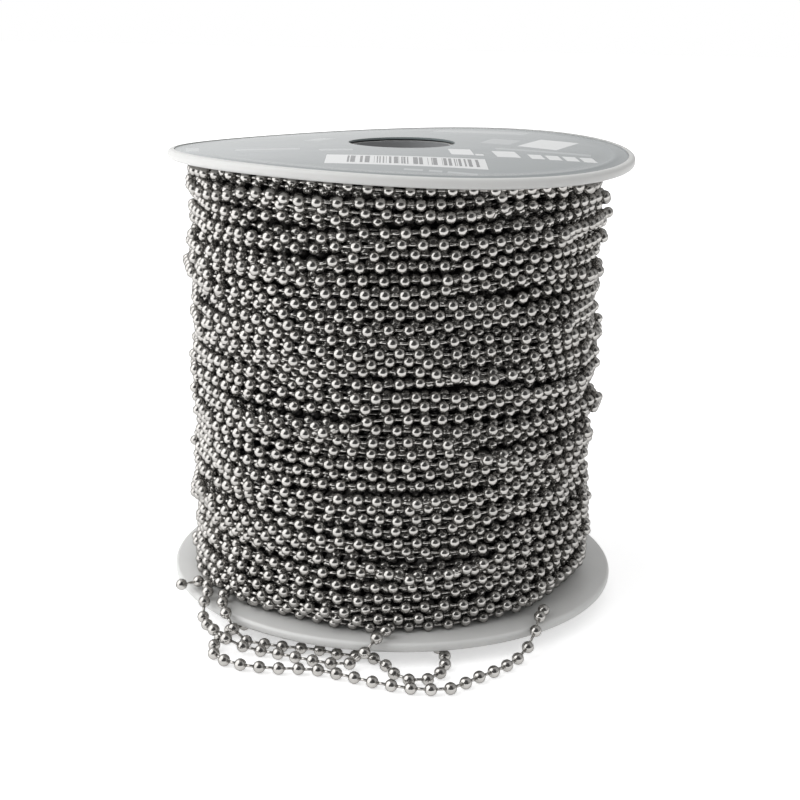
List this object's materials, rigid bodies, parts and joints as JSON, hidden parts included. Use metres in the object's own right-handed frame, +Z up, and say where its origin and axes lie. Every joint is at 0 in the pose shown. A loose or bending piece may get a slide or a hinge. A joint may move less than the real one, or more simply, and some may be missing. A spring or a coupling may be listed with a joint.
{
  "type": "reel of roller blind ball chain",
  "caption": "Reel of metal ball chain for roller blinds: two thin flanges on a core tube, wound full, with slack loops of chain lying at its foot.",
  "frame": {"origin": "on the reel's axis, in the plane that the foot ring stands on", "axes": "+Z up along the reel's axis, towards the flange with the label; -Y towards the slack chain in front"},
  "size_m": [0.095, 0.1074, 0.0949],
  "materials": {
    "flange_plastic": "pale grey moulded styrene, soft gloss",
    "core_plastic": "grey moulded styrene",
    "printed_film": "glossy printed film label, pale fields on blue-grey",
    "plated_metal": "bright nickel plate"
  },
  "bodies": {
    "root": {"bottom_flange": "flange_plastic", "top_flange": "flange_plastic", "core_tube": "core_plastic", "label": "printed_film", "wound_chain": "plated_metal", "loose_chain_long": "plated_metal", "loose_chain_middle": "plated_metal", "loose_chain_end": "plated_metal"}
  },
  "joints": []
}
